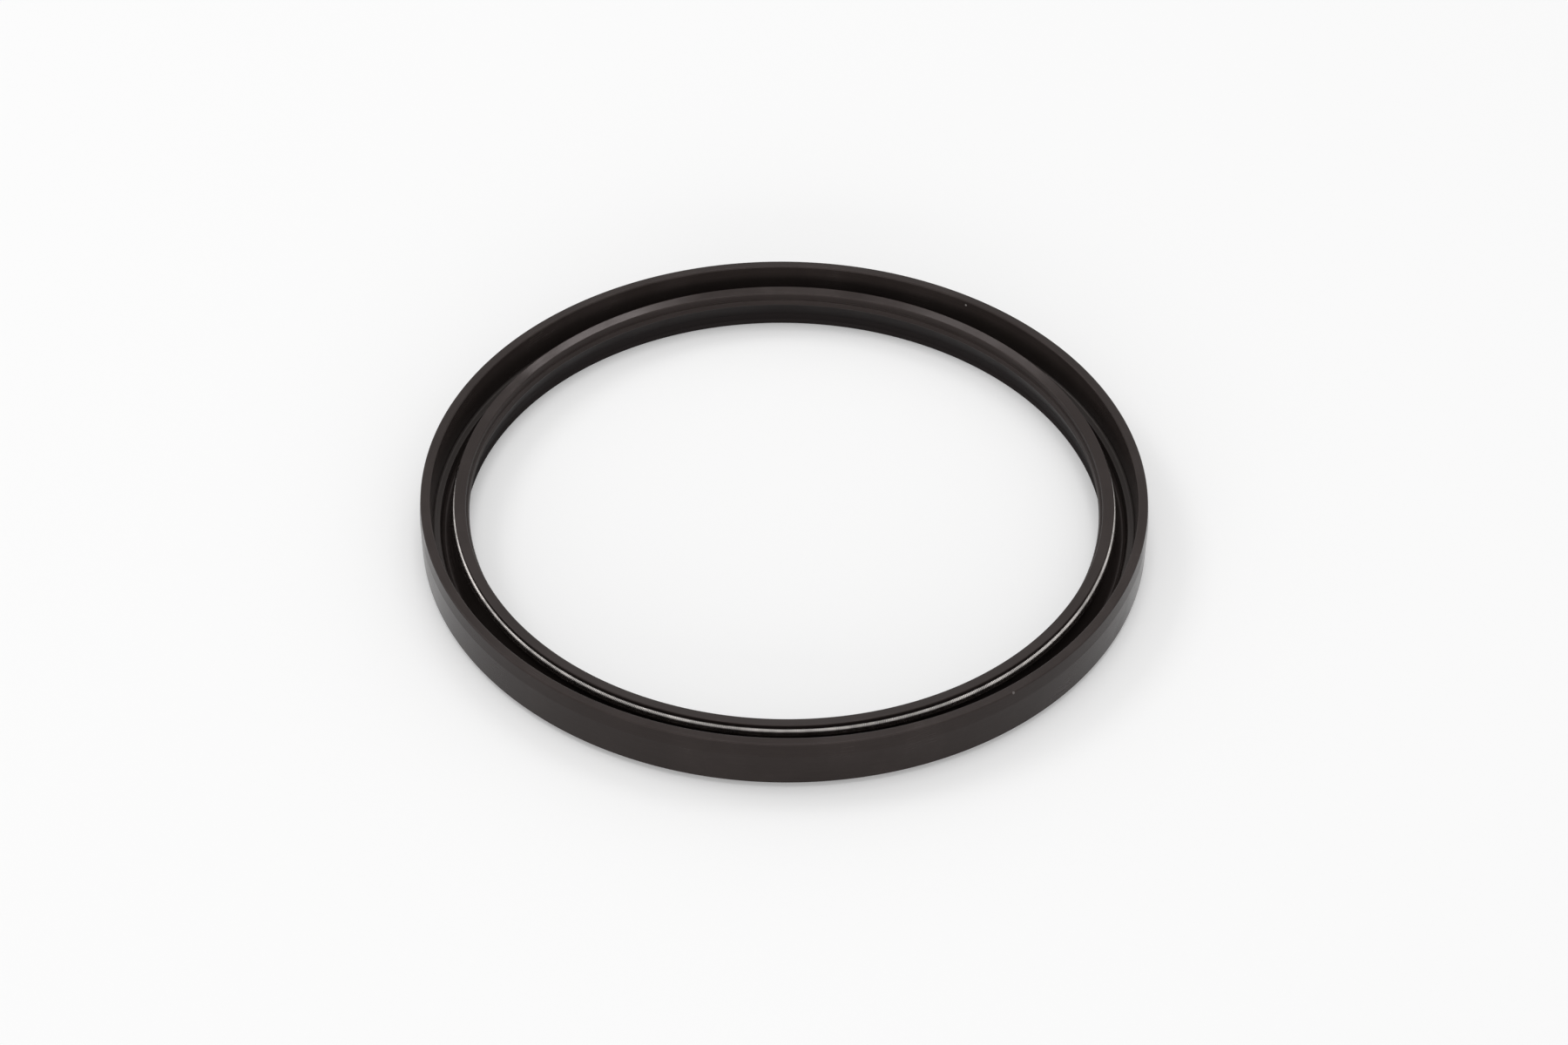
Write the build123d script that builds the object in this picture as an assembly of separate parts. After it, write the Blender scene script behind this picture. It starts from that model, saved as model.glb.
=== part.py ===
from build123d import *
import math
import os

# A rubber-covered radial shaft seal with a garter spring and a dust lip.
# The origin is on the axis, on the back (air side) face. +Z points to the front (oil side), where the
# spring lies. All lengths are in millimetres, all angles in degrees, measured from the axis.

# Fit
shaft_diameter = 105.0
radial_height = 7.5          # from the shaft to the housing bore
seal_width = 9.0

# Outside, pressed into the housing
lead_in_width = 2.4          # taper at the front edge
lead_in_drop = 0.25
back_chamfer_width = 1.0
back_chamfer_drop = 1.0
rim_edge_radius = 0.25

# Rim and channel
rim_wall = 2.0               # rubber and steel together, measured at the ledge
rim_wall_draft = 1.5
ledge_height = 3.1
ledge_width = 1.1
ledge_fillet_radius = 0.4    # at the foot of the rim wall
channel_depth = 2.1          # from the ledge to the sharp corner under the rounded channel floor
channel_draft = 14.0
channel_floor_radius = 0.6
edge_break = 0.12            # small chamfer on the other front edges

# Sealing lip and spring head
lip_interference = 1.1       # on the diameter, in the free state
lip_height = 5.3             # sealing edge above the back face
oil_face_angle = 15.0
oil_face_height = 1.9
air_face_angle = 25.0
head_height = 2.25           # head's outer edge above the sealing edge

# Flex section
flex_thickness = 1.1
waist_drop = 1.2             # waist below the sealing edge
waist_radius = 0.8
throat_depth = 1.55          # inner wall, outward from the sealing edge
throat_radius = 0.3

# Dust lip
dust_lip_clearance = 0.65    # from the shaft, which it doesn't touch
dust_lip_root_height = 0.7
dust_lip_tip_height = 0.3
dust_lip_relief = 0.1       # tip's underside above the back face
dust_lip_base_width = 0.4

# Garter spring
coil_diameter = 1.7
spring_reach = 2.15          # coil centre, outward from the sealing edge
spring_rise = 0.7            # coil centre above the sealing edge
groove_clearance = 0.03
retaining_overlap = 0.25     # head beyond the coil centre

# Steel insert
steel_thickness = 0.8
outer_cover = 0.75           # rubber outside the steel wall
front_cover = 0.8            # rubber over the end of the steel wall
back_cover = 0.45            # rubber under the steel flange
flange_bond = 1.2            # rubber between the inner wall and the end of the flange
bend_radius = 0.4            # on the inside of the bend

# Pockets left in the back by the pins that hold the insert in the mould
pocket_count = 12
pocket_diameter = 1.8

# Radii from the axis
shaft_r = shaft_diameter / 2
press_r = shaft_r + radial_height
lip_r = shaft_r - lip_interference / 2
dust_lip_r = shaft_r + dust_lip_clearance
throat_r = lip_r + throat_depth
ledge_outer_r = press_r - rim_wall
ledge_inner_r = ledge_outer_r - ledge_width
spring_r = lip_r + spring_reach
head_r = spring_r + retaining_overlap
flange_end_r = throat_r + flange_bond
steel_outer_r = press_r - outer_cover
steel_inner_r = steel_outer_r - steel_thickness

# Heights above the back face
channel_corner_z = ledge_height - channel_depth
spring_z = lip_height + spring_rise
head_z = lip_height + head_height
waist_z = lip_height - waist_drop
flange_top_z = back_cover + steel_thickness
steel_end_z = seal_width - front_cover

# Corner finishes of the half sections
SHARP = None
BROKEN = (chamfer, edge_break)


def tan(angle):
    return math.tan(math.radians(angle))


def cos(angle):
    return math.cos(math.radians(angle))


def half_section(corners):
    """Closed face of straight lines through (r, z, finish) corners. A finish is (fillet or chamfer, size)."""
    face = make_face(Polyline(*[(r, z) for r, z, finish in corners], close=True))
    for r, z, finish in corners:
        if finish:
            operation, size = finish
            corner = face.vertices().sort_by_distance(Vector(r, z))[0]
            face = operation(corner, size)
    return face


def turn(face):
    """Ring made by turning a half section, drawn as radius and height, once round the Z axis."""
    return revolve(Plane.XZ * face, Axis.Z)


def insert_section():
    """L-shaped half section of the steel ring, bent with one inside radius."""
    return half_section([
        (flange_end_r, back_cover, SHARP),
        (steel_outer_r, back_cover, (fillet, bend_radius + steel_thickness)),
        (steel_outer_r, steel_end_z, SHARP),
        (steel_inner_r, steel_end_z, SHARP),
        (steel_inner_r, flange_top_z, (fillet, bend_radius)),
        (flange_end_r, flange_top_z, SHARP),
    ])


def rubber_section():
    """Half section of the moulding, from the back face outward and round by the front."""
    wall_front_r = ledge_outer_r + (seal_width - ledge_height) * tan(rim_wall_draft)
    channel_corner_r = ledge_inner_r - channel_depth * tan(channel_draft)
    nose_r = lip_r + oil_face_height * tan(oil_face_angle)
    air_face_end_z = lip_height - throat_depth / tan(air_face_angle)
    waist_r = lip_r + waist_drop * tan(air_face_angle) + flex_thickness / cos(air_face_angle)
    shoulder_z = spring_z - coil_diameter / 2 - retaining_overlap
    outside = [
        (press_r - back_chamfer_drop, 0, SHARP),
        (press_r, back_chamfer_width, SHARP),
        (press_r, seal_width - lead_in_width, SHARP),
        (press_r - lead_in_drop, seal_width, (fillet, rim_edge_radius)),
    ]
    channel = [
        (wall_front_r, seal_width, BROKEN),
        (ledge_outer_r, ledge_height, (fillet, ledge_fillet_radius)),
        (ledge_inner_r, ledge_height, BROKEN),
        (channel_corner_r, channel_corner_z, (fillet, channel_floor_radius)),
        (waist_r, waist_z, (fillet, waist_radius)),
    ]
    head = [
        (head_r, shoulder_z, SHARP),
        (head_r, head_z, BROKEN),
        (nose_r, lip_height + oil_face_height, BROKEN),
        (lip_r, lip_height, SHARP),
    ]
    throat = [
        (throat_r, air_face_end_z, (fillet, waist_radius)),
        (throat_r, dust_lip_root_height, (fillet, throat_radius)),
        (dust_lip_r, dust_lip_tip_height, SHARP),
        (dust_lip_r, dust_lip_relief, SHARP),
        (throat_r + dust_lip_base_width, 0, SHARP),
    ]
    groove = Pos(spring_r, spring_z) * Circle(coil_diameter / 2 + groove_clearance)
    return half_section(outside + channel + head + throat) - groove


def moulding_pockets():
    """Ring of short cylinders from under the back face into the steel flange."""
    middle_r = (flange_end_r + steel_inner_r - bend_radius) / 2
    pocket = extrude(Circle(pocket_diameter / 2), flange_top_z - back_cover / 2)
    return PolarLocations(middle_r, pocket_count) * pocket


steel_insert = turn(insert_section())
rubber_body = turn(rubber_section()) - steel_insert - moulding_pockets()
garter_spring = turn(Pos(spring_r, spring_z) * Circle(coil_diameter / 2))

os.makedirs("parts", exist_ok=True)
nodes = {"rubber_body": rubber_body, "steel_insert": steel_insert, "garter_spring": garter_spring}
for name, shape in nodes.items():
    export_step(shape, f"parts/{name}.step")
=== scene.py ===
"""A rubber-covered radial shaft seal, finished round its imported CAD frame.

The moulding is one closed surface turned round the axis, the garter spring is its real wire, and the steel
insert keeps its CAD shape. The axis is Z and the spring side faces up. Lengths are in metres and angles in
radians, apart from the defaults and the tables, which give millimetres and degrees.
"""
import math

import bpy
import numpy as np
from bpy.props import FloatProperty, FloatVectorProperty, IntProperty, PointerProperty
from mathutils import Matrix, Vector


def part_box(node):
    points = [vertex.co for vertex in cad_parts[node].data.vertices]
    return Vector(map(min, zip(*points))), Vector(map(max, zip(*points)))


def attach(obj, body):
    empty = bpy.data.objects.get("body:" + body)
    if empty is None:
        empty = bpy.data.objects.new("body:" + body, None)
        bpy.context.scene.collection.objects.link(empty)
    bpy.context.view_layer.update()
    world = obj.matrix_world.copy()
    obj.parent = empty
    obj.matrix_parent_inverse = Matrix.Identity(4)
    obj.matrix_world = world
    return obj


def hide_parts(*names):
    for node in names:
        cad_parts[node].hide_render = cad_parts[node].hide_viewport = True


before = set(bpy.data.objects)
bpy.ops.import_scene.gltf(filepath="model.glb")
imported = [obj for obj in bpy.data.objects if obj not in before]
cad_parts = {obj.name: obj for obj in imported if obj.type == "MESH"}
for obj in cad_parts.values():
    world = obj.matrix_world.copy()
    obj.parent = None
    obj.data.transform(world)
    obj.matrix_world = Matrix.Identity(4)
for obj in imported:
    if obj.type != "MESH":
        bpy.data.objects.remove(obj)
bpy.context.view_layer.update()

bl_info = {
    "name": "Radial Shaft Seal",
    "version": (1, 0, 0),
    "blender": (4, 5, 0),
    "location": "View3D > Sidebar > Seal",
    "description": "Builds the rubber moulding, the garter spring and the finishes of a radial shaft seal",
    "category": "Add Mesh",
}

MM = 0.001
RUBBER_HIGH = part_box("rubber_body")[1]
INSERT_LOW, INSERT_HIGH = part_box("steel_insert")
SPRING_LOW, SPRING_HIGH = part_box("garter_spring")

ARC_SAG = 0.003 * MM         # farthest that a chord may leave its arc
ARC_SAG_SHARE = 0.3          # most that this may be as a share of the radius, for the smallest arcs
WELD = 0.00001 * MM          # points nearer than this are one point
STEPS_PER_POCKET = 40        # angular steps of the moulding from one pocket to the next
PATCH_STEPS = 6              # steps along each side of the square patch round a pocket
FLAT_ROWS = 3                # rows from a patch's border to its pocket
WIRE_STEPS = 12              # steps along one turn of the spring
WIRE_SIDES = 6               # steps round the wire
FLOOR_REACH = 3.0            # from the seal to each side of the floor
SENSOR_WIDTH = 36.0          # of the camera, in millimetres
CLIP_START = 0.01            # nearest thing that the camera shows
LAMP_DISTANCE = 1.6          # from the seal to each lamp

# Lamps: name, turn and height, size across and up, all in degrees, and level, as soft_light reads them.
LAMPS = (
    ("overhead_light", 0, 90, (26, 26), 3.0),
    ("front_fill", 183, 10, (84, 19), 2.6),
    ("left_light", -66, 45, (22, 18), 3.0),
    ("right_strip", 39, 60, (16, 22), 1.4),
    ("right_key", 8, 57, (2.5, 14), 7.5),
    ("left_key", -8, 57, (2.5, 14), 3.6),
)

# Specks of dust: distance from the axis, angle from +X, height above the back face, size across, and how much
# of the dust's own colour each has.
SPECKS = (
    (58.13, 56.9, 8.1, 0.36, 1.0),
    (59.75, -53.6, 8.85, 0.45, 0.45),
)
SPECK_EDGE = 0.1 * MM        # width over which a speck fades out

# Patterns of the finishes. A noise is its features in a metre, its detail and its roughness. Levels are the
# values between which a pattern goes from none to full. A relief is a bump's depth and strength.
LINE_NOISE, LINE_LEVELS, LINE_RELIEF = (700, 3.0, 0.6), (0.35, 0.65), (0.006 * MM, 0.5)
LINE_CROWDING = 14           # how many times closer that noise's features lie across the mould lines
LINE_RUN = 0.25              # and along them, which draws them out
GRAIN_RELIEF = (0.010 * MM, 0.3)
BLOOM_NOISE, BLOOM_LEVELS = (90, 4.0, 0.55), (0.38, 0.72)
SPECKLE_NOISE, SPECKLE_LEVELS = (1400, 1.0, 0.5), (0.66, 0.74)
BLOOM_TONE, LINE_TONE, SPECKLE_TONE = 0.6, 0.25, 0.15      # their shares of the way to the bloom's colour
BLOOM_DULLING, LINE_DULLING = 0.10, 0.05                   # roughness that each adds at its fullest
RUBBER_DULLING = 0.07                                      # what the two add on average
WIRE_STAIN_NOISE, WIRE_STAIN_LEVELS = (240, 3.0, 0.6), (0.35, 0.7)
WIRE_MARK_NOISE, WIRE_MARK_RELIEF = (9000, 1.0, 0.5), (0.002 * MM, 0.5)
WIRE_MARK_DULLING, WIRE_STAIN_DULLING = 0.12, 0.10
WIRE_STAIN_SHADE = 0.62      # colour of a stain, as a share of the wire's own
SHEET_STAIN_NOISE, SHEET_STAIN_LEVELS = (500, 3.0, 0.6), (0.4, 0.9)
SHEET_CRYSTALS, SHEET_CRYSTAL_RELIEF = 9000.0, (0.004 * MM, 0.6)
SHEET_CRYSTAL_STAIN = 0.4    # how much the crystals break up the stain
SHEET_STAIN_SHADE = 0.45     # colour of a stain, as a share of the sheet's own
SHEET_METALLIC = 0.35
SHEET_ROUGHNESS, SHEET_CRYSTAL_DULLING = 0.5, 0.2
PAPER_FIBRES, PAPER_MOTTLE = 2500, 0.01                    # fibres in a metre, and their shade either way

# Where the parts of the rubber's finish lie
MASK_EDGE = 0.1 * MM         # width over which a part fades out
TRIM_EDGE = 0.03 * MM        # the same at the trim step
BORE_DROP = 0.3 * MM         # sealing edge to the top of the bore's painted shade and duller skin
LEDGE_MARGIN = 0.3 * MM      # how far the painted light on the ledge climbs at the foot of the rim wall
HEAD_INSET = 0.2 * MM        # head's inner edge to its polished top
HEAD_REACH = 0.9 * MM        # inner wall out to the end of that top


def length(name, description, millimetres):
    """A property that holds a length in metres, with its default in millimetres."""
    return FloatProperty(name=name, description=description, default=millimetres * MM,
                         min=0.0, precision=5, unit="LENGTH")


def angle(name, description, degrees):
    """A property that holds an angle in radians, with its default in degrees."""
    return FloatProperty(name=name, description=description, default=math.radians(degrees),
                         subtype="ANGLE", unit="ROTATION")


def colour(name, description, value):
    """A property that holds a linear colour."""
    return FloatVectorProperty(name=name, description=description, default=value, size=3,
                               min=0.0, max=1.0, subtype="COLOR")


def amount(name, description, value, highest=1.0):
    """A property that holds a plain number."""
    return FloatProperty(name=name, description=description, default=value, min=0.0, max=highest)


class SealSection(bpy.types.PropertyGroup):
    """Sizes of the moulding's half section."""

    outer_radius: length("Outer radius", "Radius pressed into the housing", RUBBER_HIGH.x / MM)
    width: length("Width", "Back face to front rim", RUBBER_HIGH.z / MM)
    lead_in_width: length("Lead-in width", "Height of the taper at the front", 2.4)
    lead_in_drop: length("Lead-in drop", "How far the taper falls back", 0.25)
    back_chamfer_width: length("Back chamfer width", "Height of the chamfer at the back", 1.0)
    back_chamfer_drop: length("Back chamfer drop", "How far that chamfer falls back", 1.0)
    rim_edge_radius: length("Rim edge radius", "Rounding of the rim's outer edge", 0.25)
    rim_wall: length("Rim wall", "Wall of the rim, at the ledge", 2.0)
    rim_draft: angle("Rim draft", "Lean of the rim's inner wall", 1.5)
    ledge_height: length("Ledge height", "Ledge above the back face", 3.1)
    ledge_width: length("Ledge width", "Ledge at the foot of the rim", 1.1)
    ledge_fillet: length("Ledge fillet", "Rounding at the foot of the rim wall", 0.4)
    channel_depth: length("Channel depth", "Ledge to the sharp corner under the floor", 2.1)
    channel_draft: angle("Channel draft", "Lean of the channel's outer wall", 14.0)
    floor_radius: length("Floor radius", "Rounding of the channel's floor", 0.6)
    lip_radius: length("Lip radius", "Free radius of the sealing edge", 51.95)
    lip_height: length("Lip height", "Sealing edge above the back face", 5.3)
    oil_face_angle: angle("Oil face angle", "Lean of the face above the sealing edge", 15.0)
    oil_face_height: length("Oil face height", "Height of that face", 1.9)
    air_face_angle: angle("Air face angle", "Lean of the face below the sealing edge", 25.0)
    head_height: length("Head height", "Head's outer edge above the sealing edge", 2.25)
    head_overlap: length("Head overlap", "Head beyond the coil's centre", 0.25)
    flex_thickness: length("Flex thickness", "Rubber at the waist of the lip", 1.1)
    waist_drop: length("Waist drop", "Waist below the sealing edge", 1.2)
    waist_radius: length("Waist radius", "Rounding of the waist, on both sides", 0.8)
    throat_depth: length("Throat depth", "Inner wall, outward from the sealing edge", 1.55)
    throat_radius: length("Throat radius", "Rounding above the dust lip", 0.3)
    dust_lip_radius: length("Dust lip radius", "Free radius of the dust lip", 53.15)
    dust_lip_root: length("Dust lip root", "Top of the dust lip at the inner wall", 0.7)
    dust_lip_tip: length("Dust lip tip", "Top of the dust lip at its tip", 0.3)
    dust_lip_relief: length("Dust lip relief", "Underside of the tip above the back face", 0.1)
    dust_lip_base: length("Dust lip base", "Back face under the dust lip", 0.4)
    trim_height: length("Trim height", "Trimmed face above the sealing edge", 0.7)
    trim_step: length("Trim step", "Step back from the trimmed face", 0.35)
    trim_lean: angle("Trim lean", "Rise of that step away from the bore", 12.5)
    trim_radius: length("Trim radius", "Rounding of that step", 0.06)
    nose_radius: length("Nose radius", "Rounding of the head's inner edge", 0.3)
    head_edge_radius: length("Head edge radius", "Rounding of the head's outer edge", 0.22)
    rim_inner_radius: length("Rim inner radius", "Rounding of the rim's inner edge", 0.3)
    corner_radius: length("Corner radius", "Rounding left in the mould's corners", 0.15)
    edge_radius: length("Edge radius", "Rounding of the trimmed edges", 0.05)

    def oil_face_r(self, rise):
        """Radius of the oil face at a height above the sealing edge: lip radius + rise * tan(lean)."""
        return self.lip_radius + rise * math.tan(self.oil_face_angle)

    def trim_rise(self):
        """How much higher the trim step ends than it starts: step * tan(lean)."""
        return self.trim_step * math.tan(self.trim_lean)

    def throat_r(self):
        """Radius of the inner wall."""
        return self.lip_radius + self.throat_depth

    def ledge_r(self):
        """Radius at the foot of the rim wall."""
        return self.outer_radius - self.rim_wall


class SealInsert(bpy.types.PropertyGroup):
    """Sizes of the steel insert and of the pockets that show it."""

    outer_radius: length("Outer radius", "Outside of the steel wall", INSERT_HIGH.x / MM)
    low: length("Back", "Underside of the flange", INSERT_LOW.z / MM)
    high: length("Front", "End of the steel wall", INSERT_HIGH.z / MM)
    thickness: length("Thickness", "Sheet thickness", 0.8)
    flange_radius: length("Flange radius", "Inner edge of the flange", 54.7)
    bend_radius: length("Bend radius", "Inside of the bend", 0.4)
    edge_radius: length("Edge radius", "Rounding of the cut edges", 0.02)
    pocket_count: IntProperty(name="Pockets", description="Pockets in the back face", default=12,
                              min=3, max=48)
    pocket_diameter: length("Pocket diameter", "Mark of one locating pin", 1.8)


class SealSpring(bpy.types.PropertyGroup):
    """Sizes of the garter spring."""

    outer_radius: length("Outer radius", "Outside of the closed spring", SPRING_HIGH.x / MM)
    height: length("Height", "Coil centre above the back face", (SPRING_LOW.z + SPRING_HIGH.z) / 2 / MM)
    coil_diameter: length("Coil diameter", "Outside of the coil", 1.7)
    wire_diameter: length("Wire diameter", "Thickness of the wire", 0.25)
    groove_clearance: length("Groove clearance", "Coil to groove", 0.03)


class SealFinish(bpy.types.PropertyGroup):
    """Colours and gloss of the pieces."""

    rubber_colour: colour("Rubber", "Clean moulded rubber", (0.0288, 0.0226, 0.0208))
    bloom_colour: colour("Bloom", "Dry bloom on the rubber", (0.0400, 0.0320, 0.0298))
    # Painted light: a lighter colour that the ledge gets in place of the light that falls on it.
    ledge_light_colour: colour("Painted ledge light", "Bloom that has settled on the ledge", (0.0580, 0.0510, 0.0480))
    dust_colour: colour("Dust", "Specks of pale dust on the rubber", (0.30, 0.28, 0.27))
    # Painted shade: a darker colour for the bore below the sealing edge, where shade falls inside the hole.
    bore_shade_colour: colour("Bore", "Skin of the bore below the sealing edge", (0.0100, 0.0080, 0.0078))
    bore_dulling: amount("Bore dulling", "Roughness that the lip's inner faces have over the rest", 0.30)
    head_polish: amount("Head polish", "Roughness that the lip's head has under the rest", 0.11)
    head_evenness: amount("Head evenness", "Share of the grain's height that the lip's head lacks", 0.8)
    rubber_gloss_tint: colour("Gloss tint", "Colour of the rubber's gloss", (1.0, 0.88, 0.87))
    rubber_gloss: amount("Gloss", "Strength of the rubber's gloss", 0.15)
    rubber_roughness: amount("Rubber roughness", "Roughness of the moulded skin", 0.22)
    grain: length("Grain", "Size of the moulded grain", 0.11)
    wire_colour: colour("Wire", "Drawn spring wire", (0.61, 0.58, 0.56))
    wire_roughness: amount("Wire roughness", "Roughness of the wire", 0.21)
    insert_colour: colour("Insert", "Phosphated sheet", (0.15, 0.15, 0.145))


class SealStage(bpy.types.PropertyGroup):
    """Camera, lamps and floor."""

    distance: length("Distance", "Camera to the back face's centre", 508.5)
    elevation: angle("Elevation", "Height angle of the camera", 42.244)
    pitch: angle("Pitch", "How far the camera looks down", 42.25)
    roll: angle("Roll", "Turn about the line of sight", 0.62)
    lens: FloatProperty(name="Lens", description="Focal length in millimetres", default=70.0)
    air: amount("Air", "Level at which the white air lights the seal", 0.5, 4.0)
    paper: amount("Paper", "Whiteness of the floor's paper where it is seen", 0.85)
    paper_bounce: amount("Paper bounce", "Share of the light that the paper throws back on the seal", 0.20)
    paper_near: length("Paper near", "Distance within which the floor shows as paper", 250.0)
    paper_far: length("Paper far", "Distance past which the floor shows as air", 900.0)
    paper_glow: amount("Paper glow", "Level that tops the paper up to white where it is seen", 0.20)


def unit(vector):
    """The vector divided by its length."""
    return vector / np.hypot(*vector)


def arc(centre, radius, start, sweep):
    """Points and outward normals of an arc in the half section.

    A point is the centre plus the radius times (cos a, sin a), where a runs evenly from start to
    start + sweep. The steps keep each chord within ARC_SAG of the arc: step = 2 acos(1 - sag / radius). The
    normal is (cos a, sin a), turned round where the sweep is clockwise, because the rubber is then outside
    the arc.
    """
    step = 2 * math.acos(1 - min(ARC_SAG / radius, ARC_SAG_SHARE))
    steps = max(2, math.ceil(abs(sweep) / step))
    turn = start + sweep * np.linspace(0, 1, steps + 1)
    ray = np.column_stack((np.cos(turn), np.sin(turn)))
    return centre + radius * ray, math.copysign(1, sweep) * ray


def rounded(corners):
    """One arc for each (r, z, radius) corner of a closed outline that runs anticlockwise round the rubber.

    With d the direction in and e the direction out, the outline turns by t = atan2(d x e, d . e). The arc
    touches both edges at radius * tan(|t| / 2) from the corner, and its centre lies beside the edge, on the
    side to which the outline turns.
    """
    places = np.array([corner[:2] for corner in corners])
    runs = []
    for before, place, after, corner in zip(np.roll(places, 1, 0), places, np.roll(places, -1, 0), corners):
        d, e = unit(place - before), unit(after - place)
        turn = math.atan2(d[0] * e[1] - d[1] * e[0], d @ e)
        outward = math.copysign(1, turn) * np.array((d[1], -d[0]))
        radius = corner[2]
        centre = place - radius * math.tan(abs(turn) / 2) * d - radius * outward
        runs.append(arc(centre, radius, math.atan2(outward[1], outward[0]), turn))
    return runs


def groove(section, spring):
    """The three arcs of the spring groove: lower mouth edge, groove, upper mouth edge.

    The groove is a circle round the coil's centre. Each mouth edge is an arc of the edge radius f that
    touches the head's upright face and the groove: its centre lies f inside the face and groove radius + f
    from the coil's centre.
    """
    coil_radius = spring.coil_diameter / 2
    centre = np.array((spring.outer_radius - coil_radius, spring.height))
    radius = coil_radius + spring.groove_clearance
    edge = section.edge_radius
    inset = section.head_overlap - edge
    rise = math.sqrt((radius + edge) ** 2 - inset ** 2)
    lower, upper = centre + (inset, -rise), centre + (inset, rise)
    opening = math.atan2(rise, inset)
    reach = math.pi - opening
    return [
        arc(lower, edge, 0, reach),
        arc(centre, radius, -opening, -2 * reach),
        arc(upper, edge, -reach, reach),
    ]


def rubber_outline(section, spring):
    """Points and normals of the moulding's half section, from the back face's outer end to its inner end.

    A face that leans by an angle ends its rise * tan(angle) to the side of where it starts, and the flex
    section's thickness, measured square to its lean, is thickness / cos(angle) wide along the radius.
    """
    s = section
    sharp, corner = s.edge_radius, s.corner_radius
    coil_radius = spring.coil_diameter / 2
    head_r = spring.outer_radius - coil_radius + s.head_overlap
    ledge_outer_r = s.ledge_r()
    ledge_inner_r = ledge_outer_r - s.ledge_width
    wall_front_r = ledge_outer_r + (s.width - s.ledge_height) * math.tan(s.rim_draft)
    channel_r = ledge_inner_r - s.channel_depth * math.tan(s.channel_draft)
    waist_r = (s.lip_radius + s.waist_drop * math.tan(s.air_face_angle)
               + s.flex_thickness / math.cos(s.air_face_angle))
    trim_r, trim_z = s.oil_face_r(s.trim_height), s.lip_height + s.trim_height
    throat_r, throat_z = s.throat_r(), s.lip_height - s.throat_depth / math.tan(s.air_face_angle)
    outside = [
        (s.outer_radius - s.back_chamfer_drop, 0, corner),
        (s.outer_radius, s.back_chamfer_width, corner),
        (s.outer_radius, s.width - s.lead_in_width, corner),
        (s.outer_radius - s.lead_in_drop, s.width, s.rim_edge_radius),
        (wall_front_r, s.width, s.rim_inner_radius),
        (ledge_outer_r, s.ledge_height, s.ledge_fillet),
        (ledge_inner_r, s.ledge_height, corner),
        (channel_r, s.ledge_height - s.channel_depth, s.floor_radius),
        (waist_r, s.lip_height - s.waist_drop, s.waist_radius),
        (head_r, spring.height - coil_radius - s.head_overlap, corner),
    ]
    inside = [
        (head_r, s.lip_height + s.head_height, s.head_edge_radius),
        (s.oil_face_r(s.oil_face_height), s.lip_height + s.oil_face_height, s.nose_radius),
        (trim_r + s.trim_step, trim_z + s.trim_rise(), s.trim_radius),
        (trim_r, trim_z, s.trim_radius),
        (s.lip_radius, s.lip_height, sharp),
        (throat_r, throat_z, s.waist_radius),
        (throat_r, s.dust_lip_root, s.throat_radius),
        (s.dust_lip_radius, s.dust_lip_tip, sharp),
        (s.dust_lip_radius, s.dust_lip_relief, sharp),
        (throat_r + s.dust_lip_base, 0, sharp),
    ]
    runs = rounded(outside + inside)
    runs[len(outside):len(outside)] = groove(section, spring)
    return joined(runs)


def insert_outline(insert):
    """Points and normals of the insert's half section, anticlockwise from the bend to the flange's end."""
    i = insert
    inner_r = i.outer_radius - i.thickness
    return joined(rounded([
        (i.outer_radius, i.low, i.bend_radius + i.thickness),
        (i.outer_radius, i.high, i.edge_radius),
        (inner_r, i.high, i.edge_radius),
        (inner_r, i.low + i.thickness, i.bend_radius),
        (i.flange_radius, i.low + i.thickness, i.edge_radius),
        (i.flange_radius, i.low, i.edge_radius),
    ]))


def joined(runs):
    """Runs of points and normals, end to end, with a point that two runs share kept once."""
    points, normals = (np.concatenate(parts) for parts in zip(*runs))
    apart = np.hypot(*np.diff(points, axis=0).T) > WELD
    kept = np.concatenate(([True], apart))
    return points[kept], normals[kept]


def on_circle(index, total):
    """Angle of each step of a full circle, the same number for the same step on every turn."""
    return 2 * math.pi * (index % total) / total


def turned(outline, normals, turns):
    """Surface of a half section turned to each angle a: x = r cos a, y = r sin a, z = z.

    The last axis of turns gives the columns, and each point of the half section a row. The result is the grid
    of points and the grid of normals, of the shape (..., rows, columns, 3).
    """
    around = turns[..., None, :]

    def spin(section):
        r, z = section[:, 0, None], section[:, 1, None]
        return np.stack((r * np.cos(around), r * np.sin(around), z + 0 * around), axis=-1)

    return spin(outline), spin(normals)


def level(radii, z, up):
    """A flat stretch of half section at height z, with its normals along Z: up is 1 or -1."""
    ones = np.ones(len(radii))
    return np.column_stack((radii, z * ones)), np.column_stack((0 * ones, up * ones))


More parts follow.
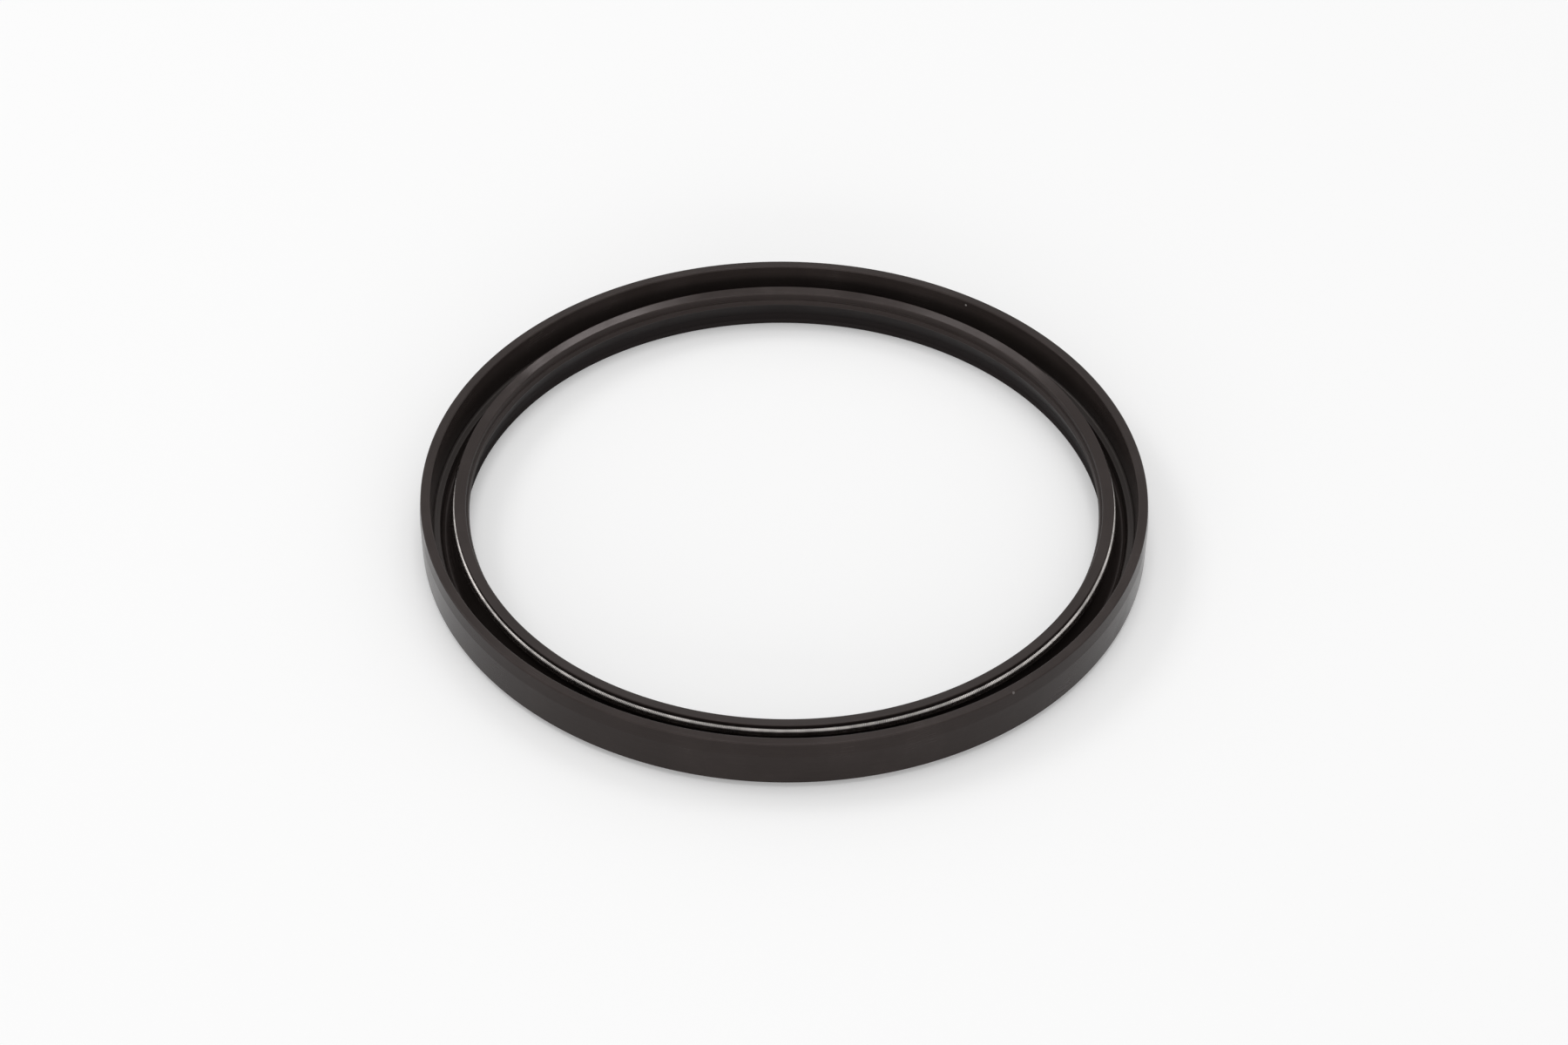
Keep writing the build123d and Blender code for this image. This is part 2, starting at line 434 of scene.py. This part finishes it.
def pockets(insert, edge, radii):
    """Patches round the pockets: back face and pocket wall in one grid, floor of the cavity in the other.

    Each patch is a square of PATCH_STEPS steps a side whose border runs clockwise through the points of the
    turned surface. Column j of the pocket lies at 45 degrees less j steps, so the corners of the square face
    its diagonals. A flat row is (1 - s) * border + s * circle, for s from 0 to 1. The mouth's rows are a
    quarter circle from the back face into the wall, carried round the pocket's axis.
    """
    side, half = PATCH_STEPS, PATCH_STEPS // 2
    total = insert.pocket_count * STEPS_PER_POCKET
    falling, rising = np.arange(half, -half, -1), np.arange(-half, half)
    across = np.concatenate((falling, np.full(side, -half), rising, np.full(side + 1, half)))
    outward = np.concatenate((np.full(side, side), falling + half, np.full(side, 0), rising + half, [side]))
    step = STEPS_PER_POCKET * np.arange(insert.pocket_count)[:, None]
    middle = on_circle(step, total)
    border_turn = on_circle(step + across, total)
    border = np.stack((np.cos(border_turn), np.sin(border_turn)), -1) * radii[outward][:, None]
    centre = np.stack((np.cos(middle), np.sin(middle)), -1) * radii[half]
    local = middle + math.radians(45) - 2 * math.pi * np.arange(4 * side + 1) / (4 * side)
    ray = np.stack((np.cos(local), np.sin(local)), -1)

    def flat(radius, z):
        share = np.linspace(0, 1, FLAT_ROWS + 1)[:, None, None]
        flat_xy = (1 - share) * border[:, None] + share * (centre + radius * ray)[:, None]
        return np.concatenate((flat_xy, np.full(flat_xy.shape[:3] + (1,), z)), -1)

    radius = insert.pocket_diameter / 2
    mouth, mouth_normals = arc(np.array((radius + edge, edge)), edge, -math.pi, math.pi / 2)
    wall = np.vstack((mouth[::-1], (radius, insert.low)))
    wall_normals = np.vstack((mouth_normals[::-1], mouth_normals[0]))

    def carried(section, origin):
        xy = origin[:, None] + section[:, 0, None, None] * ray[:, None]
        z = np.broadcast_to(section[:, 1, None, None], xy.shape[:3] + (1,))
        return np.concatenate((xy, z), -1)

    back = flat(radius + edge, 0.0)
    down = np.broadcast_to((0.0, 0.0, -1.0), back.shape)
    low = (np.concatenate((back[:, :-1], carried(wall, centre)), 1),
           np.concatenate((down[:, :-1], carried(wall_normals, 0 * centre)), 1))
    floor = flat(radius, insert.low)[:, ::-1]
    return [low, (floor, np.broadcast_to((0.0, 0.0, 1.0), floor.shape))]


def moulding(section, insert, spring):
    """Grids of the whole moulding: its skin, the cavity that the insert fills, and the pockets between them.

    Skin and cavity are half sections turned round the axis. Both are left open over a band of the back, where
    flat sectors alternate with the pockets' patches. Row k of the band, counted from its middle radius m,
    lies at m (1 + k * step), where step is the angle from column to column, so the patches are square.
    """
    total = insert.pocket_count * STEPS_PER_POCKET
    middle = (insert.flange_radius + insert.outer_radius - insert.thickness - insert.bend_radius) / 2
    half = PATCH_STEPS // 2
    radii = middle * (1 + 2 * math.pi / total * np.arange(-half, half + 1))
    full = on_circle(np.arange(total + 1), total)
    starts = STEPS_PER_POCKET * np.arange(insert.pocket_count)[:, None]
    sectors = on_circle(starts + np.arange(half, STEPS_PER_POCKET - half + 1), total)
    points, normals = insert_outline(insert)
    inward = points[::-1], -normals[::-1]
    skin = joined([level(radii[-1:], 0, -1), rubber_outline(section, spring), level(radii[:1], 0, -1)])
    cavity = joined([level(radii[:1], insert.low, 1), inward, level(radii[-1:], insert.low, 1)])
    return [
        turned(*skin, full),
        turned(*cavity, full),
        turned(*level(radii, 0, -1), sectors),
        turned(*level(radii[::-1], insert.low, 1), sectors),
        *pockets(insert, section.edge_radius, radii),
    ]


def coil(spring):
    """Grid of the close-wound wire of the garter spring.

    The wire's centre is r = R + c cos(n t), z = Z + c sin(n t) at the angle t round the axis, with c the
    coil's radius less the wire's. The number of turns n is the largest whole one that leaves the turns clear
    of each other at the ring's inside. The wire's skin is the centre plus w (cos p N + sin p B), where N
    points away from the coil's own centre line, T is the wire's direction, and B = T x N.
    """
    wire = spring.wire_diameter / 2
    coil_radius = spring.coil_diameter / 2
    ring, c = spring.outer_radius - coil_radius, coil_radius - wire
    n = math.floor(2 * math.pi * (ring - c) / spring.wire_diameter)
    t = np.linspace(0, 2 * math.pi, n * WIRE_STEPS + 1)
    winding = n * t
    r, rise = ring + c * np.cos(winding), c * np.sin(winding)
    dr, dz = -n * rise, n * c * np.cos(winding)
    cos_t, sin_t = np.cos(t), np.sin(t)
    centre = np.stack((r * cos_t, r * sin_t, spring.height + rise), -1)
    along = np.stack((dr * cos_t - r * sin_t, dr * sin_t + r * cos_t, dz), -1)
    along /= np.linalg.norm(along, axis=-1, keepdims=True)
    away = np.stack((np.cos(winding) * cos_t, np.cos(winding) * sin_t, np.sin(winding)), -1)
    beside = np.cross(along, away)
    p = np.linspace(0, 2 * math.pi, WIRE_SIDES + 1)[None, :, None]
    normals = np.cos(p) * away[:, None] + np.sin(p) * beside[:, None]
    return centre[:, None] + wire * normals, normals


def placed(name, data):
    """A new object of the scene, at the origin."""
    thing = bpy.data.objects.new(name, data)
    bpy.context.scene.collection.objects.link(thing)
    return thing


def shell(name, patches):
    """A closed mesh object from grids of points with their normals.

    Every grid has the shape (panels, rows, columns, 3). The faces of a grid join its neighbouring rows and
    columns, and points of all grids that lie within WELD of each other become one.
    """
    points, normals, faces, start = [], [], [], 0
    for grid, grid_normals in patches:
        grid = grid.reshape(-1, *grid.shape[-3:])
        index = start + np.arange(grid[..., 0].size).reshape(grid.shape[:3])
        quads = (index[:, :-1, :-1], index[:, :-1, 1:], index[:, 1:, 1:], index[:, 1:, :-1])
        faces.append(np.stack(quads, axis=-1).reshape(-1, 4))
        points.append(grid.reshape(-1, 3))
        normals.append(grid_normals.reshape(-1, 3))
        start = index.max() + 1
    points, normals, faces = np.concatenate(points), np.concatenate(normals), np.concatenate(faces)
    keys = np.round(points / WELD).astype(np.int64)
    first, merged = np.unique(keys, axis=0, return_index=True, return_inverse=True)[1:]
    corners = merged.reshape(-1)[faces].reshape(-1)
    mesh = bpy.data.meshes.new(name)
    mesh.vertices.add(len(first))
    mesh.vertices.foreach_set("co", points[first].reshape(-1))
    mesh.loops.add(len(corners))
    mesh.loops.foreach_set("vertex_index", corners)
    mesh.polygons.add(len(faces))
    mesh.polygons.foreach_set("loop_start", np.arange(0, len(corners), 4))
    mesh.update(calc_edges=True)
    mesh.validate()
    mesh.polygons.foreach_set("use_smooth", np.ones(len(faces), bool))
    mesh.normals_split_custom_set(normals[faces].reshape(-1, 3))
    return placed(name, mesh)


class Wire:
    """An output socket of a finish. Arithmetic on it adds Math nodes, with plain numbers or other wires.

    Beside the usual signs, a | b is the greater of the two.
    """

    def __init__(self, finish, socket):
        self.finish, self.socket = finish, socket

    def math(self, operation, *others):
        """One Math node with this wire first."""
        return self.finish.node("ShaderNodeMath", {"operation": operation}, dict(enumerate((self, *others))))

    def __add__(self, other):
        return self.math("ADD", other)

    def __mul__(self, other):
        return self.math("MULTIPLY", other)

    def __sub__(self, other):
        return self.math("SUBTRACT", other)

    def __rsub__(self, other):
        return self * -1 + other

    def __pow__(self, other):
        return self.math("POWER", other)

    def __or__(self, other):
        return self.math("MAXIMUM", other)

    __radd__, __rmul__, __ror__ = __add__, __mul__, __or__


class Finish:
    """The node tree of a material or of the world, emptied and ready for new nodes."""

    def __init__(self, owner):
        owner.use_nodes = True
        self.owner, self.tree = owner, owner.node_tree
        self.tree.nodes.clear()

    def node(self, kind, settings=None, values=None, output=0):
        """Adds a node of a type with its settings first, then the values or links of its sockets."""
        node = self.tree.nodes.new(kind)
        for name, value in (settings or {}).items():
            setattr(node, name, value)
        for name, value in (values or {}).items():
            if isinstance(value, Wire):
                self.tree.links.new(value.socket, node.inputs[name])
            else:
                node.inputs[name].default_value = value
        return Wire(self, node.outputs[output]) if node.outputs else node

    def place(self):
        """Object coordinates."""
        return self.node("ShaderNodeTexCoord", output="Object")

    def from_axis(self, place):
        """Distance from the Z axis, the square root of x x + y y, and x, y and z themselves."""
        axes = self.node("ShaderNodeSeparateXYZ", {}, {0: place}).socket.node.outputs
        x, y, z = (Wire(self, axis) for axis in axes)
        return (x * x + y * y) ** 0.5, x, y, z

    def noise(self, vector, per_metre, detail=2.0, roughness=0.5):
        """Noise with about per_metre features in a metre."""
        return self.node("ShaderNodeTexNoise", {}, {
            "Vector": vector, "Scale": per_metre, "Detail": detail, "Roughness": roughness})

    def step(self, value, low, high):
        """0 below low, 1 above high, and smooth between them. With low above high it is turned round."""
        return self.node("ShaderNodeMapRange", {"interpolation_type": "SMOOTHSTEP"},
                         {"Value": value, "From Min": low, "From Max": high})

    def band(self, value, low, high, edge=MASK_EDGE):
        """1 from low to high, and down to 0 within an edge on both sides."""
        return self.step(value, low - edge, low) * self.step(value, high + edge, high)

    def blend(self, share, first, second):
        """A colour share of the way from first to second. Each is a wire or an (r, g, b) colour.

        The Mix node's socket 0 is its factor, and its sockets 6 and 7 and its output 2 are its colours.
        """
        first, second = (c if isinstance(c, Wire) else (*c, 1.0) for c in (first, second))
        return self.node("ShaderNodeMix", {"data_type": "RGBA"}, {0: share, 6: first, 7: second}, output=2)

    def bump(self, height, relief, under=None):
        """A normal bent by a height, of which 1 is as deep as the relief. It can lie over another normal."""
        values = dict(zip(("Distance", "Strength"), relief), Height=height)
        if under:
            values["Normal"] = under
        return self.node("ShaderNodeBump", {}, values)

    def surface(self, **values):
        """Principled surface straight to the output."""
        named = {name.replace("_", " "): value for name, value in values.items()}
        self.output(self.node("ShaderNodeBsdfPrincipled", {}, named))

    def output(self, shader):
        """Links a shader to the output of the material or the world."""
        kind = "World" if isinstance(self.owner, bpy.types.World) else "Material"
        self.node("ShaderNodeOutput" + kind, {}, {"Surface": shader})


def rubber_finish(look, section):
    """Moulded black-brown nitrile rubber: fine grain, turned mould lines round the axis, and a dry bloom.

    Bloom, mould lines and fine speckle add up to the tone: the share of the way from the clean rubber's
    colour to the bloom's. The bore below the sealing edge gets painted shade, a darker colour, and a duller
    skin; the head's top and the trim step are smoother; the ledge gets painted light, a lighter colour; and a
    few specks of dust lie on the rim.
    """
    finish = Finish(bpy.data.materials.new("moulded_rubber"))
    place = finish.place()
    radius, x, y, z = finish.from_axis(place)
    ring = finish.node("ShaderNodeCombineXYZ", {}, {
        0: radius * LINE_CROWDING, 1: z * LINE_CROWDING, 2: (x + y) * LINE_RUN})
    turned_lines = finish.noise(ring, *LINE_NOISE)
    grain = finish.noise(place, 1 / look.grain)
    bloom = finish.step(finish.noise(place, *BLOOM_NOISE), *BLOOM_LEVELS)
    speckle = finish.step(finish.noise(place, *SPECKLE_NOISE), *SPECKLE_LEVELS)
    lines = finish.step(turned_lines, *LINE_LEVELS)
    tone = bloom * BLOOM_TONE + lines * LINE_TONE + speckle * SPECKLE_TONE

    throat_r, ledge_r, lip_z = section.throat_r(), section.ledge_r(), section.lip_height
    nose_r, nose_z = section.oil_face_r(section.oil_face_height), lip_z + section.oil_face_height
    trim_r, trim_z = section.oil_face_r(section.trim_height), lip_z + section.trim_height
    # The bore mask carries painted shade (a darker colour) and a real, duller skin.
    bore = finish.band(radius, 0, throat_r + MASK_EDGE) * finish.band(z, 0, lip_z - BORE_DROP)
    # The ledge mask carries painted light: a lighter colour at the foot of the rim wall.
    ledge = (finish.band(radius, ledge_r - section.ledge_width, ledge_r + LEDGE_MARGIN)
             * finish.band(z, section.ledge_height, section.ledge_height + LEDGE_MARGIN))
    trim = (finish.band(radius, trim_r, trim_r + section.trim_step, TRIM_EDGE)
            * finish.band(z, trim_z - TRIM_EDGE, trim_z + section.trim_rise() + TRIM_EDGE, TRIM_EDGE))
    head = (finish.band(radius, nose_r + HEAD_INSET, throat_r + HEAD_REACH)
            * finish.band(z, nose_z, section.width))
    smooth = head | trim
    satin = bore | finish.band(radius, 0, nose_r) * (1 - trim)

    skin = finish.blend(tone, look.rubber_colour, look.bloom_colour)
    # Painted light on the ledge, then painted shade in the bore.
    skin = finish.blend(ledge, skin, look.ledge_light_colour)
    skin = finish.blend(bore, skin, look.bore_shade_colour)
    for distance, turn, height, size, share in SPECKS:
        a = math.radians(turn)
        spot = Vector((distance * math.cos(a), distance * math.sin(a), height)) * MM
        away = finish.node("ShaderNodeVectorMath", {"operation": "DISTANCE"}, {0: place, 1: spot}, "Value")
        border = size / 2 * MM
        speck = finish.step(away + grain * SPECK_EDGE, border + SPECK_EDGE, border)
        skin = finish.blend(speck * share, skin, look.dust_colour)

    relief = 1 - smooth * look.head_evenness
    normal = finish.bump((turned_lines - 0.5) * relief, LINE_RELIEF)
    normal = finish.bump((grain - 0.5) * relief, GRAIN_RELIEF, normal)
    finish.surface(
        Base_Color=skin,
        Roughness=(bloom * BLOOM_DULLING + lines * LINE_DULLING + satin * look.bore_dulling
                   - smooth * look.head_polish + (look.rubber_roughness - RUBBER_DULLING)),
        Normal=normal,
        Specular_IOR_Level=look.rubber_gloss,
        Specular_Tint=(*look.rubber_gloss_tint, 1.0),
    )
    return finish.owner


def wire_finish(look):
    """Oiled spring wire: its drawing marks and a slight stain vary its roughness about a middle value."""
    finish = Finish(bpy.data.materials.new("drawn_wire"))
    place = finish.place()
    stain, marks = finish.noise(place, *WIRE_STAIN_NOISE), finish.noise(place, *WIRE_MARK_NOISE)
    stained = [WIRE_STAIN_SHADE * part for part in look.wire_colour]
    finish.surface(
        Base_Color=finish.blend(finish.step(stain, *WIRE_STAIN_LEVELS), look.wire_colour, stained),
        Metallic=1.0,
        Roughness=(marks * WIRE_MARK_DULLING + stain * WIRE_STAIN_DULLING
                   + (look.wire_roughness - (WIRE_MARK_DULLING + WIRE_STAIN_DULLING) / 2)),
        Normal=finish.bump(marks, WIRE_MARK_RELIEF),
    )
    return finish.owner


def insert_finish(look):
    """Phosphated sheet steel: a matt grey skin of fine crystals, with a stain that they break up."""
    finish = Finish(bpy.data.materials.new("phosphated_steel"))
    place = finish.place()
    crystals = finish.node("ShaderNodeTexVoronoi", {"feature": "F1"}, {
        "Vector": place, "Scale": SHEET_CRYSTALS})
    stain = finish.noise(place, *SHEET_STAIN_NOISE) + crystals * SHEET_CRYSTAL_STAIN
    stained = [SHEET_STAIN_SHADE * part for part in look.insert_colour]
    finish.surface(
        Base_Color=finish.blend(finish.step(stain, *SHEET_STAIN_LEVELS), look.insert_colour, stained),
        Metallic=SHEET_METALLIC,
        Roughness=crystals * SHEET_CRYSTAL_DULLING + SHEET_ROUGHNESS,
        Normal=finish.bump(crystals, SHEET_CRYSTAL_RELIEF),
    )
    return finish.owner


def seen(finish):
    """1 for rays that draw the background to the camera or in gloss, 0 for those that light the object."""
    camera, glossy, through = (finish.node("ShaderNodeLightPath", output=f"Is {ray} Ray")
                               for ray in ("Camera", "Glossy", "Transmission"))
    return camera | glossy | through


def floor_finish(stage):
    """White paper floor: diffuse, less white for the light it throws back, and topped up where it is seen.

    Far from the seal it turns into the white of the air, so that no edge of it shows.
    """
    finish = Finish(bpy.data.materials.new("studio_paper"))
    place = finish.place()
    fibres = finish.noise(place, PAPER_FIBRES)
    paper = finish.blend(fibres, (stage.paper - PAPER_MOTTLE,) * 3, (stage.paper + PAPER_MOTTLE,) * 3)
    shown = seen(finish)
    paper = finish.blend(shown, (stage.paper_bounce,) * 3, paper)
    diffuse = finish.node("ShaderNodeBsdfDiffuse", {}, {"Color": paper})
    glow = finish.node("ShaderNodeEmission", {}, {"Strength": shown * stage.paper_glow})
    near = finish.node("ShaderNodeAddShader", {}, {0: diffuse, 1: glow})
    air = finish.node("ShaderNodeEmission", {}, {"Strength": 1.0})
    far = finish.step(finish.from_axis(place)[0], stage.paper_near, stage.paper_far)
    finish.output(finish.node("ShaderNodeMixShader", {}, {0: far * shown, 1: near, 2: air}))
    return finish.owner


def sky(stage):
    """World: white air where it is seen, which lights the seal at a lower level."""
    finish = Finish(bpy.data.worlds.new("studio_air"))
    strength = seen(finish) * (1 - stage.air) + stage.air
    finish.output(finish.node("ShaderNodeBackground", {}, {"Color": (1, 1, 1, 1), "Strength": strength}))
    return finish.owner


def lay_floor(stage):
    """A square of paper at the height of the back face."""
    corners = np.array(((-1, -1), (1, -1), (1, 1), (-1, 1))) * FLOOR_REACH
    mesh = bpy.data.meshes.new("floor")
    mesh.from_pydata(np.column_stack((corners, np.zeros(4))).tolist(), [], [(0, 1, 2, 3)])
    mesh.materials.append(floor_finish(stage))
    floor = placed("floor", mesh)


def soft_light(name, turn, height, size, level):
    """A rectangular area lamp that faces the seal from LAMP_DISTANCE.

    It stands turn degrees to the right of straight behind the seal and height degrees above the floor. Its
    size is the angles across and up that it fills as the seal sees it, and its level is its radiance.
    """
    lamp = bpy.data.lights.new(name, "AREA")
    lamp.shape = "RECTANGLE"
    lamp.size, lamp.size_y = (2 * LAMP_DISTANCE * math.tan(math.radians(part / 2)) for part in size)
    lamp.energy = level * math.pi * lamp.size * lamp.size_y
    a, h = math.radians(turn), math.radians(height)
    away = Vector((math.sin(a) * math.cos(h), math.cos(a) * math.cos(h), math.sin(h)))
    facing = away.to_track_quat("Z", "Y").to_matrix().to_4x4()
    placed(name, lamp).matrix_world = Matrix.Translation(away * LAMP_DISTANCE) @ facing


def aim_camera(stage):
    """The camera, in front of the seal at its elevation, looking down by the pitch and turned by the roll."""
    lens = bpy.data.cameras.new("camera")
    lens.sensor_width, lens.lens, lens.clip_start = SENSOR_WIDTH, stage.lens, CLIP_START
    away = Vector((0, -math.cos(stage.elevation), math.sin(stage.elevation))) * stage.distance
    camera = placed("camera", lens)
    camera.matrix_world = (Matrix.Translation(away)
                           @ Matrix.Rotation(math.pi / 2 - stage.pitch, 4, "X")
                           @ Matrix.Rotation(stage.roll, 4, "Z"))
    bpy.context.scene.camera = camera


def dress(piece, material):
    """One material all over the piece."""
    piece.data.materials.clear()
    piece.data.materials.append(material)


class SEAL_OT_moulding(bpy.types.Operator):
    """Build the rubber moulding in place of its CAD solid"""

    bl_idname = "seal.moulding"
    bl_label = "Rubber moulding"

    def execute(self, context):
        scene = context.scene
        piece = shell("seal_moulding", moulding(scene.seal_section, scene.seal_insert, scene.seal_spring))
        dress(piece, rubber_finish(scene.seal_finish, scene.seal_section))
        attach(piece, "root")
        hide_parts("rubber_body")
        return {"FINISHED"}


class SEAL_OT_spring(bpy.types.Operator):
    """Wind the garter spring in place of its CAD ring"""

    bl_idname = "seal.spring"
    bl_label = "Garter spring"

    def execute(self, context):
        piece = shell("garter_coil", [coil(context.scene.seal_spring)])
        dress(piece, wire_finish(context.scene.seal_finish))
        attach(piece, "root")
        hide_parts("garter_spring")
        return {"FINISHED"}


class SEAL_OT_insert(bpy.types.Operator):
    """Give the CAD insert its phosphated skin"""

    bl_idname = "seal.insert"
    bl_label = "Steel insert"

    def execute(self, context):
        dress(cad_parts["steel_insert"], insert_finish(context.scene.seal_finish))
        return {"FINISHED"}


class SEAL_OT_stage(bpy.types.Operator):
    """Set up the floor, the soft lights and the camera"""

    bl_idname = "seal.stage"
    bl_label = "Stage"

    def execute(self, context):
        stage = context.scene.seal_stage
        context.scene.view_settings.view_transform = "Standard"
        context.scene.world = sky(stage)
        lay_floor(stage)
        for lamp in LAMPS:
            soft_light(*lamp)
        aim_camera(stage)
        return {"FINISHED"}


class VIEW3D_PT_seal(bpy.types.Panel):
    """The seal's pieces and their sizes"""

    bl_label = "Shaft Seal"
    bl_space_type = "VIEW_3D"
    bl_region_type = "UI"
    bl_category = "Seal"

    def draw(self, context):
        for operator in OPERATORS:
            self.layout.operator(operator.bl_idname)
        for group in GROUPS:
            box = self.layout.box()
            box.label(text=group.removeprefix("seal_").capitalize())
            values = getattr(context.scene, group)
            for name in type(values).__annotations__:
                box.prop(values, name)


GROUPS = {
    "seal_section": SealSection,
    "seal_insert": SealInsert,
    "seal_spring": SealSpring,
    "seal_finish": SealFinish,
    "seal_stage": SealStage,
}
OPERATORS = (SEAL_OT_moulding, SEAL_OT_spring, SEAL_OT_insert, SEAL_OT_stage)
CLASSES = (*GROUPS.values(), *OPERATORS, VIEW3D_PT_seal)


def register():
    for added in CLASSES:
        bpy.utils.register_class(added)
    for name, group in GROUPS.items():
        setattr(bpy.types.Scene, name, PointerProperty(type=group))


def unregister():
    for name in GROUPS:
        delattr(bpy.types.Scene, name)
    for added in reversed(CLASSES):
        bpy.utils.unregister_class(added)


def main():
    """Builds every piece and the stage."""
    register()
    bpy.ops.seal.moulding()
    bpy.ops.seal.spring()
    bpy.ops.seal.insert()
    bpy.ops.seal.stage()


if __name__ == "__main__":
    main()
